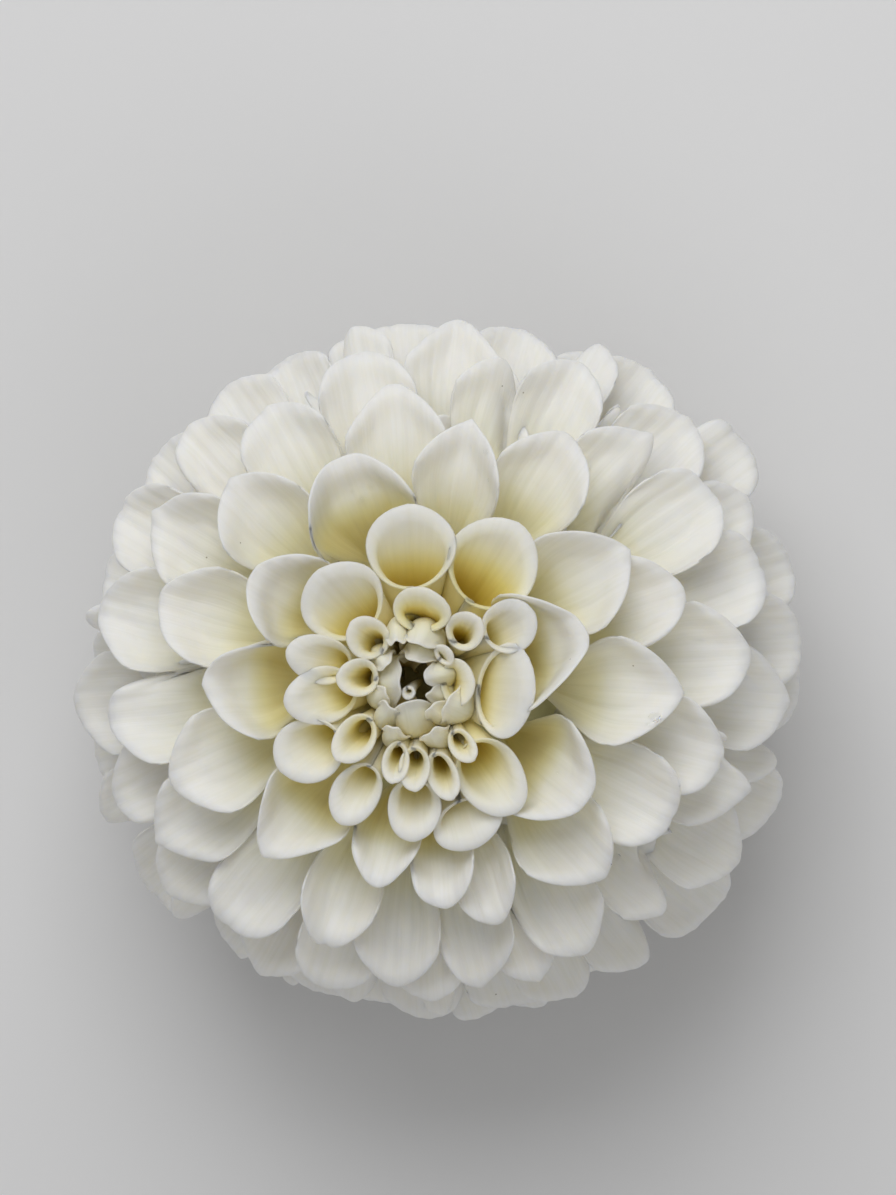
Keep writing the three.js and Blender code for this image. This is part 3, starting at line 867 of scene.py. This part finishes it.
def clouds_and_rim_highlight(tree, colour, place):
    """Faint cloudy patches, and a painted highlight that makes the edge paler than the rest."""
    clouds = between(tree, noise(tree, place, CLOUD_SCALE), 0.45, 0.75)
    colour = tint(tree, "MULTIPLY", times(tree, clouds, 0.6), colour, CLOUD_SHADE)
    # Painted highlight: the thin edge is made paler, in place of the light that shines through it.
    painted_rim_highlight = times(tree, between(tree, value_of(tree, "rim"), 1.6, 0.2), 0.25)
    return tint(tree, "MIX", painted_rim_highlight, colour, PAINTED_RIM_HIGHLIGHT)


def dusted(tree, colour, place):
    """Small dark specks in one of ten cells of a Voronoi pattern."""
    cells = add(tree, "ShaderNodeTexVoronoi", {"Vector": place, "Scale": SPECK_SCALE})
    chance = add(tree, "ShaderNodeSeparateColor", {0: cells.outputs["Color"]}).outputs[0]
    in_speck = between(tree, cells.outputs["Distance"], 0.055, 0.03)
    dots = times(tree, in_speck, between(tree, chance, 0.90, 0.91))
    return tint(tree, "MULTIPLY", times(tree, dots, 0.75), colour, SPECK_COLOUR)


# %% The petal material
def petal_material(name, stops, depth, glow=1.4 * MM):
    material, tree, shader = blank(name)
    veins = vein_pattern(tree)
    place = object_place(tree)
    colour = base_colour(tree, stops, depth)
    vein_mask = times(tree, between(tree, veins, 0.42, 0.62), 0.5)
    colour = tint(tree, "MULTIPLY", vein_mask, colour, VEIN_SHADE)
    colour = dusted(tree, clouds_and_rim_highlight(tree, colour, place), place)
    feed(tree, shader.inputs["Base Color"], colour)
    feed(tree, shader.inputs["Normal"], bump(tree, 0.8, 0.07 * MM, veins))
    gloss = times(tree, value_of(tree, "inside"), 0.12)
    feed(tree, shader.inputs["Roughness"], minus(tree, 0.62, gloss))
    shader.inputs["IOR"].default_value = 1.4
    shader.inputs["Specular IOR Level"].default_value = 0.35
    shader.inputs["Subsurface Weight"].default_value = 0.85
    shader.inputs["Subsurface Radius"].default_value = (1.0, 0.9, 0.7)
    shader.inputs["Subsurface Scale"].default_value = glow
    return material


white_skin = petal_material("petal_white", PETAL_STOPS, 0.42)
cream_skin_with_painted_shade = petal_material("petal_cream", CREAM_STOPS_WITH_PAINTED_SHADE, 0.55)
bud_skin = petal_material("petal_bud", BUD_STOPS, 0.9, glow=1.8 * MM)
print("nodes in the petal material:", len(white_skin.node_tree.nodes))

# %% [markdown]
# ## Grow the florets
#
# With the placing, the shape and the skin ready, the ball is one loop. Each petal draws its own small
# differences from its own seed, so changing one ring leaves the others as they were.

# %% Every petal of the rings
ROLLED_LIP = 0.3  # mm, thickness of a rolled petal's edge

for number, petal in enumerate(petals):
    if petal.get("rolled", False):
        petal.update(form=tube, lip=ROLLED_LIP, settles=False)
        make_petal(petal, np.random.default_rng(number), cream_skin_with_painted_shade, "inner_florets")
    else:
        petal.update(form=spoon)
        make_petal(petal, np.random.default_rng(number), white_skin, "outer_florets")
print("petals made:", len(petals))

# %% [markdown]
# ## The eye
#
# At the middle the youngest florets are still closed. They are small cream hoods that stand close together
# round a dark hollow and lean over it, and they were read off the flower one by one, as the open ones were.
# A hood is the same sweep as a petal, rolled nearly shut, with a midrib that bows outwards and comes back
# in at the top.

# %% The closed florets round the hollow
# Bearing, how far out the back bulges, how far out the tip ends, width, height, and the tip's heading.
HOODS = [
    (178, 4.1, 0.5, 6.6, 34.4, -75), (103, 7.2, 4.4, 3, 36, -50), (72, 7, 4.4, 5, 36.2, -50),
    (70, 5, 2.4, 4.4, 35.4, -60), (14, 4.6, 2, 3.6, 35.2, -70), (338, 4.7, 2.5, 2.6, 35, -60),
    (333, 8.8, 5, 4.4, 36.4, -50), (281, 7.8, 1.9, 4.8, 35.8, -70), (297, 9.4, 6, 2.8, 36.4, -45),
    (254, 8.2, 5, 2.8, 36, -50), (236, 6.2, 2.8, 3, 35.6, -60), (207, 5, 2.3, 2.8, 35, -60),
    (140, 5, 2.8, 2.6, 35, -55), (315, 6.6, 3.6, 2.8, 35.8, -55),
]
HOOD_FOOT = 0.7  # the foot stands this share of the back's reach from the axis
HOOD_RISE = 0.6  # mm, how far the tips stand above the listed heights
HOOD_START = 14  # degrees, the heading of the foot
HOOD_SEED = 500

for number, (bearing, back, tip, width, height, nod) in enumerate(HOODS):
    hood = dict(
        name=f"hood_{number + 1:02d}", form=hood_form, bearing=bearing, width=width,
        root=np.array([back * HOOD_FOOT, CORE_TOP - 2]), tip=np.array([tip, height + HOOD_RISE]),
        start=HOOD_START, end=nod, waist=165, mouth=125, yaw=0, throat=1.25, yellow=1.15, settles=False,
    )
    make_petal(hood, np.random.default_rng(HOOD_SEED + number), bud_skin, "inner_florets")
print("hoods made:", len(HOODS))

# %% [markdown]
# ## The receptacle
#
# The fleshy core that all roots grow from shows only as a dim green-yellow depth between the petals. It is
# a turned shape: one profile spun round the axis, with a slightly bumpy surface.

# %% Turn a profile round the axis
AROUND = 48


def turned(profile, around=AROUND):
    profile = np.array(profile, dtype=float)
    angles = np.arange(around) * TAU / around
    ring = np.stack([np.cos(angles), np.sin(angles)], axis=-1)
    levels = [np.concatenate([ring * r, np.full((around, 1), z)], axis=-1) for r, z in profile]
    faces = []
    for level in range(len(profile) - 1):
        for i in range(around):
            a, b = level * around + i, level * around + (i + 1) % around
            faces.append((a, b, b + around, a + around))
    last = (len(profile) - 1) * around
    faces.append(tuple(range(around))[::-1])
    faces.append(tuple(last + i for i in range(around)))
    return np.concatenate(levels), faces


def plain_material(name, stops, scale, roughness, bump_height):
    """A skin with one fine grain in its colour and its surface."""
    material, tree, shader = blank(name)
    grain = noise(tree, object_place(tree), scale, 4.0)
    feed(tree, shader.inputs["Base Color"], ramp(tree, grain, stops))
    feed(tree, shader.inputs["Normal"], bump(tree, 0.6, bump_height, grain))
    shader.inputs["Roughness"].default_value = roughness
    return material


# %% The core
core = make_piece("receptacle", *turned([on_core(polar) for polar in range(176, 3, -8)]))
FLESH_STOPS = [(0.3, (0.52, 0.50, 0.24)), (0.7, (0.66, 0.64, 0.36))]
flesh = plain_material("receptacle_flesh", FLESH_STOPS, 300.0, 0.7, 0.3 * MM)
belongs(core, "outer_florets", flesh)
print("points of the core:", len(core.data.vertices))

# %% [markdown]
# ## Calyx and stump
#
# Turned over, the bloom shows what held it: a ring of pale papery bracts against the petals, a ring of
# fleshy green ones bent back, and the short stump where the stem was cut. A bract is a small leaf, so it is
# made as an open petal is, only flatter and with a skin of its own.

# %% Bracts
GREEN_STOPS = [(0.3, (0.16, 0.24, 0.06)), (0.7, (0.30, 0.38, 0.13))]
PALE_STOPS = [(0.3, (0.46, 0.52, 0.24)), (0.7, (0.66, 0.69, 0.42))]
green_skin = plain_material("calyx_green", GREEN_STOPS, 500.0, 0.55, 0.1 * MM)
pale_skin = plain_material("bract_pale", PALE_STOPS, 420.0, 0.5, 0.08 * MM)
BRACT_SEED = 700
BRACTS = [
    dict(name="pale_bract", skin=pale_skin, count=8, phase=10, width=6.5,
         root=np.array((8.5, -17)), tip=np.array((17.5, -20.5)), start=100, end=135),
    dict(name="green_bract", skin=green_skin, count=6, phase=0, width=4.8,
         root=np.array((6, -19.6)), tip=np.array((12.5, -26.5)), start=105, end=172),
]

for ring in BRACTS:
    for number in range(ring["count"]):
        bract = dict(
            ring, name=f"{ring['name']}_{number + 1}", bearing=ring["phase"] + number * 360 / ring["count"],
            form=spoon, waist=30, mouth=20, cup=0, yaw=0, throat=1, yellow=0, settles=False,
        )
        rng = np.random.default_rng(BRACT_SEED + number)
        make_petal(bract, rng, ring["skin"], "calyx_and_stem")
print("bracts made:", sum(ring["count"] for ring in BRACTS))

# %% Calyx disc and stump
CALYX_RADIUS = 10.5
CALYX_THICKNESS = 3.2
STEM_RADIUS = 2.7
CUT_BEVEL = 0.3
FLARE = 2.5  # mm of the stump that widen into the calyx
RIBS_ROUND, RIB_DEPTH = 9, 0.05  # the stalk is faintly ribbed
ON_AXIS = 0.05  # mm, a turned profile starts and ends close to the axis
stem_end = cut_height / MM - centre.z / MM
calyx_foot = -CORE_BOTTOM - CALYX_THICKNESS
stem_profile = [
    (ON_AXIS, stem_end), (STEM_RADIUS * 0.8, stem_end), (STEM_RADIUS, stem_end + CUT_BEVEL),
    (STEM_RADIUS, calyx_foot - FLARE), (CALYX_RADIUS * 0.55, calyx_foot),
    (CALYX_RADIUS, -CORE_BOTTOM - 1), (CALYX_RADIUS + 0.6, -CORE_BOTTOM + 2.2),
    (ON_AXIS, -CORE_BOTTOM + 2.2),
]
stem_verts, stem_faces = turned(stem_profile, around=72)
ribs = 1 + RIB_DEPTH * np.cos(RIBS_ROUND * np.arctan2(stem_verts[:, 1], stem_verts[:, 0]))
stem_verts[:, :2] *= ribs[:, None]
belongs(make_piece("calyx_and_stump", stem_verts, stem_faces), "calyx_and_stem", green_skin)
print("length of the stump below the calyx, mm:", round(calyx_foot - stem_end, 1))

# %% [markdown]
# A cut stalk shows a pale, moist pith inside its green skin. It is one more turned piece, a very shallow
# dish that stands a hair's breadth out of the stump's cut end, with a fine wet grain.

# %% The cut end
PITH_RADIUS = 2.1
PITH_STOPS = [(0.3, (0.52, 0.58, 0.30)), (0.7, (0.76, 0.80, 0.58))]
pith_profile = [
    (ON_AXIS, stem_end - 0.02), (PITH_RADIUS * 0.5, stem_end - 0.06), (PITH_RADIUS, stem_end - 0.1),
    (PITH_RADIUS, stem_end + CUT_BEVEL), (ON_AXIS, stem_end + CUT_BEVEL),
]
pith_skin = plain_material("pith", PITH_STOPS, 2500.0, 0.35, 0.1 * MM)
belongs(make_piece("cut_pith", *turned(pith_profile)), "calyx_and_stem", pith_skin)
print("width of the pith, mm:", 2 * PITH_RADIUS)

# %% [markdown]
# ## The set
#
# White petals need a floor a little darker than they are, or their edge is lost. The floor is one wide
# sheet in a quiet pale grey.

# %% Floor
FLOOR_SIDE = 3.0
half_side = FLOOR_SIDE / 2
corners = [(x * half_side, y * half_side, 0) for x, y in ((-1, -1), (1, -1), (1, 1), (-1, 1))]
floor_mesh = bpy.data.meshes.new("floor")
floor_mesh.from_pydata(corners, [], [(0, 1, 2, 3)])
floor = bpy.data.objects.new("floor", floor_mesh)
bpy.context.scene.collection.objects.link(floor)
floor_paint, floor_tree, floor_shader = blank("floor_paint")
floor_shader.inputs["Base Color"].default_value = (0.80, 0.80, 0.805, 1)
floor_shader.inputs["Roughness"].default_value = 0.8
floor_mesh.materials.append(floor_paint)
print("side of the floor, m:", FLOOR_SIDE)

# %% [markdown]
# ## Light
#
# Soft light keeps petals readable. The main light is a wide panel beyond the top of the picture, because
# the upper petals of the flower are the brightest. A weaker one fills from the other side, and the sky is
# dim.

# %% Lights and sky
SKY_STRENGTH = 0.3


def panel(name, place, size, power):
    """A square light that faces the middle of the bloom."""
    light = bpy.data.lights.new(name, "AREA")
    light.shape, light.size, light.energy = "SQUARE", size, power
    lamp = bpy.data.objects.new(name, light)
    lamp.location = place
    lamp.rotation_euler = (centre - Vector(place)).to_track_quat("-Z", "Y").to_euler()
    bpy.context.scene.collection.objects.link(lamp)


panel("key_panel", (-0.05, 0.43, 0.57), size=0.5, power=2.8)
panel("fill_panel", (0.25, -0.5, 0.6), size=0.6, power=0.7)
world = bpy.data.worlds.new("studio")
bpy.context.scene.world = world
world.use_nodes = True
world.node_tree.nodes["Background"].inputs[0].default_value = (1, 1, 1, 1)
world.node_tree.nodes["Background"].inputs[1].default_value = SKY_STRENGTH
bpy.context.scene.view_settings.view_transform = "Standard"

# %% [markdown]
# ## Camera
#
# The bloom is seen from above, a little from its right and top: the eye sits left of and below the middle
# of the outline, and that offset gives the tilt. The frame is 896 by 1195 pixels, and the bloom's middle
# falls below the middle of the frame, so the camera aims past it.

# %% Camera
IMAGE = (896, 1195)  # px
BLOOM_PIXEL = (436, 669)  # where the middle of the ball falls
SCALE = 0.1245  # mm per pixel at the widest level
DISTANCE = 900 * MM
TILT_RIGHT, TILT_UP = 5.6, 2.7  # degrees
IMAGE_TOP = Vector((0, 1, 0))

back = Vector((math.tan(math.radians(TILT_RIGHT)), math.tan(math.radians(TILT_UP)), 1)).normalized()
right = IMAGE_TOP.cross(back).normalized()
up = back.cross(right)
to_the_right = right * (IMAGE[0] / 2 - BLOOM_PIXEL[0]) * SCALE * MM
downwards = up * (IMAGE[1] / 2 - BLOOM_PIXEL[1]) * SCALE * MM
aim = centre + to_the_right - downwards
lens_place = centre + back * DISTANCE
view_back = (lens_place - aim).normalized()
view_right = IMAGE_TOP.cross(view_back).normalized()
view_up = view_back.cross(view_right)
facing = Matrix((view_right, view_up, view_back)).transposed().to_4x4()
camera = bpy.data.objects.new("camera", bpy.data.cameras.new("camera"))
camera.matrix_world = Matrix.Translation(lens_place) @ facing
camera.data.angle = 2 * math.atan(IMAGE[1] / 2 * SCALE * MM / DISTANCE)
camera.data.clip_start = 0.01
bpy.context.scene.collection.objects.link(camera)
bpy.context.scene.camera = camera
print("angle of view, degrees:", round(math.degrees(camera.data.angle), 1))

# %% [markdown]
# ## Water drops
#
# A little rain or spray is left on the open petals. A drop on a petal is a low lens with a round foot,
# because the waxy skin hardly lets it spread. The drops are put where the flower has them: a ray goes from
# the camera through each place in the picture, and the drop stands on the petal that the ray meets, turned
# to its normal.

# %% Where the drops are
from mathutils.bvhtree import BVHTree

# Each drop's place in the picture, in pixels, and how wide it is, in mm.
DROPS = [
    (655, 717, 1.5), (648, 724, 0.6), (486, 452, 0.9), (478, 470, 0.6), (494, 466, 0.5), (471, 447, 0.5),
    (489, 480, 0.6), (362, 500, 0.9), (371, 488, 0.7), (352, 492, 0.5), (380, 478, 0.5), (231, 578, 0.8),
    (170, 579, 0.7), (197, 521, 0.6), (236, 487, 0.6), (617, 857, 0.9), (624, 862, 0.6), (610, 865, 0.5),
    (672, 778, 0.7), (680, 786, 0.4), (557, 773, 0.5), (520, 560, 0.6), (530, 548, 0.4), (600, 690, 0.5),
    (285, 560, 0.5), (430, 380, 0.6), (590, 470, 0.5), (330, 900, 0.6), (480, 905, 0.6), (700, 640, 0.6),
]

bpy.context.view_layer.update()
trees = []
for piece in bpy.context.scene.objects:
    if piece.type == "MESH" and "along" in piece.data.attributes:
        mesh = piece.data
        faces = [face.vertices[:] for face in mesh.polygons]
        trees.append(BVHTree.FromPolygons([v.co for v in mesh.vertices], faces))
print("petals that a ray can meet:", len(trees))


def first_petal(pixel):
    """Place, normal, face and distance where the ray through a pixel first meets a petal."""
    off_x, off_y = pixel[0] - IMAGE[0] / 2, IMAGE[1] / 2 - pixel[1]
    ray = view_right * off_x * SCALE * MM + view_up * off_y * SCALE * MM - view_back * DISTANCE
    hits = [tree.ray_cast(lens_place, ray.normalized()) for tree in trees]
    return min((hit for hit in hits if hit[0] is not None), key=lambda hit: hit[3], default=None)


# %% Shape the drops
DROP_HEIGHT = 0.24  # as a share of its width
LENS_ROWS, LENS_COLUMNS = 7, 24
SUNK = 0.05  # mm, how far the foot goes into the petal
DROP_SEED = 41
drop_rng = np.random.default_rng(DROP_SEED)
drop_verts, drop_faces = [], []


def lens(foot, normal, width):
    """Adds the points and faces of one drop, ring by ring up to its top."""
    side = np.cross(normal, (0.3, 1, 0.2))
    side /= np.linalg.norm(side)
    other = np.cross(normal, side)
    angle = np.arange(LENS_COLUMNS) * TAU / LENS_COLUMNS
    outline = 1 + 0.1 * np.cos(2 * angle + drop_rng.uniform(0, TAU)) + 0.05 * np.cos(3 * angle)
    start = len(drop_verts)
    for row in range(LENS_ROWS):
        share = 1 - row / LENS_ROWS
        height = DROP_HEIGHT * width * (1 - share**2.4) ** 0.6 - SUNK
        for a, r in zip(angle, outline * share * width / 2):
            drop_verts.append(foot + normal * height + (side * math.cos(a) + other * math.sin(a)) * r)
    drop_verts.append(foot + normal * (DROP_HEIGHT * width - SUNK))
    for row in range(LENS_ROWS - 1):
        level = start + row * LENS_COLUMNS
        for i in range(LENS_COLUMNS):
            a, b = level + i, level + (i + 1) % LENS_COLUMNS
            drop_faces.append((a, b, b + LENS_COLUMNS, a + LENS_COLUMNS))
    top = len(drop_verts) - 1
    last = top - LENS_COLUMNS
    for i in range(LENS_COLUMNS):
        drop_faces.append((last + i, last + (i + 1) % LENS_COLUMNS, top))
    drop_faces.append(tuple(start + i for i in range(LENS_COLUMNS))[::-1])


for x, y, width in DROPS:
    hit = first_petal((x, y))
    if hit is not None:
        lens((np.array(hit[0]) - np.array(centre)) / MM, np.array(hit[1]), width)
drops = make_piece("water_drops", np.array(drop_verts), drop_faces)
print("points of the drops:", len(drop_verts))

# %% Water
water, water_tree, water_shader = blank("water")
ripple = noise(water_tree, object_place(water_tree), 900.0, 1.0)
feed(water_tree, water_shader.inputs["Normal"], bump(water_tree, 0.1, 0.02 * MM, ripple))
water_shader.inputs["Base Color"].default_value = (0.97, 0.98, 0.98, 1)
water_shader.inputs["Roughness"].default_value = 0.03
water_shader.inputs["IOR"].default_value = 1.33
water_shader.inputs["Transmission Weight"].default_value = 1.0
water_shader.inputs["Alpha"].default_value = 0.45
drops.data.materials.append(water)
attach(drops, "root")
print("material of the drops:", water.name)
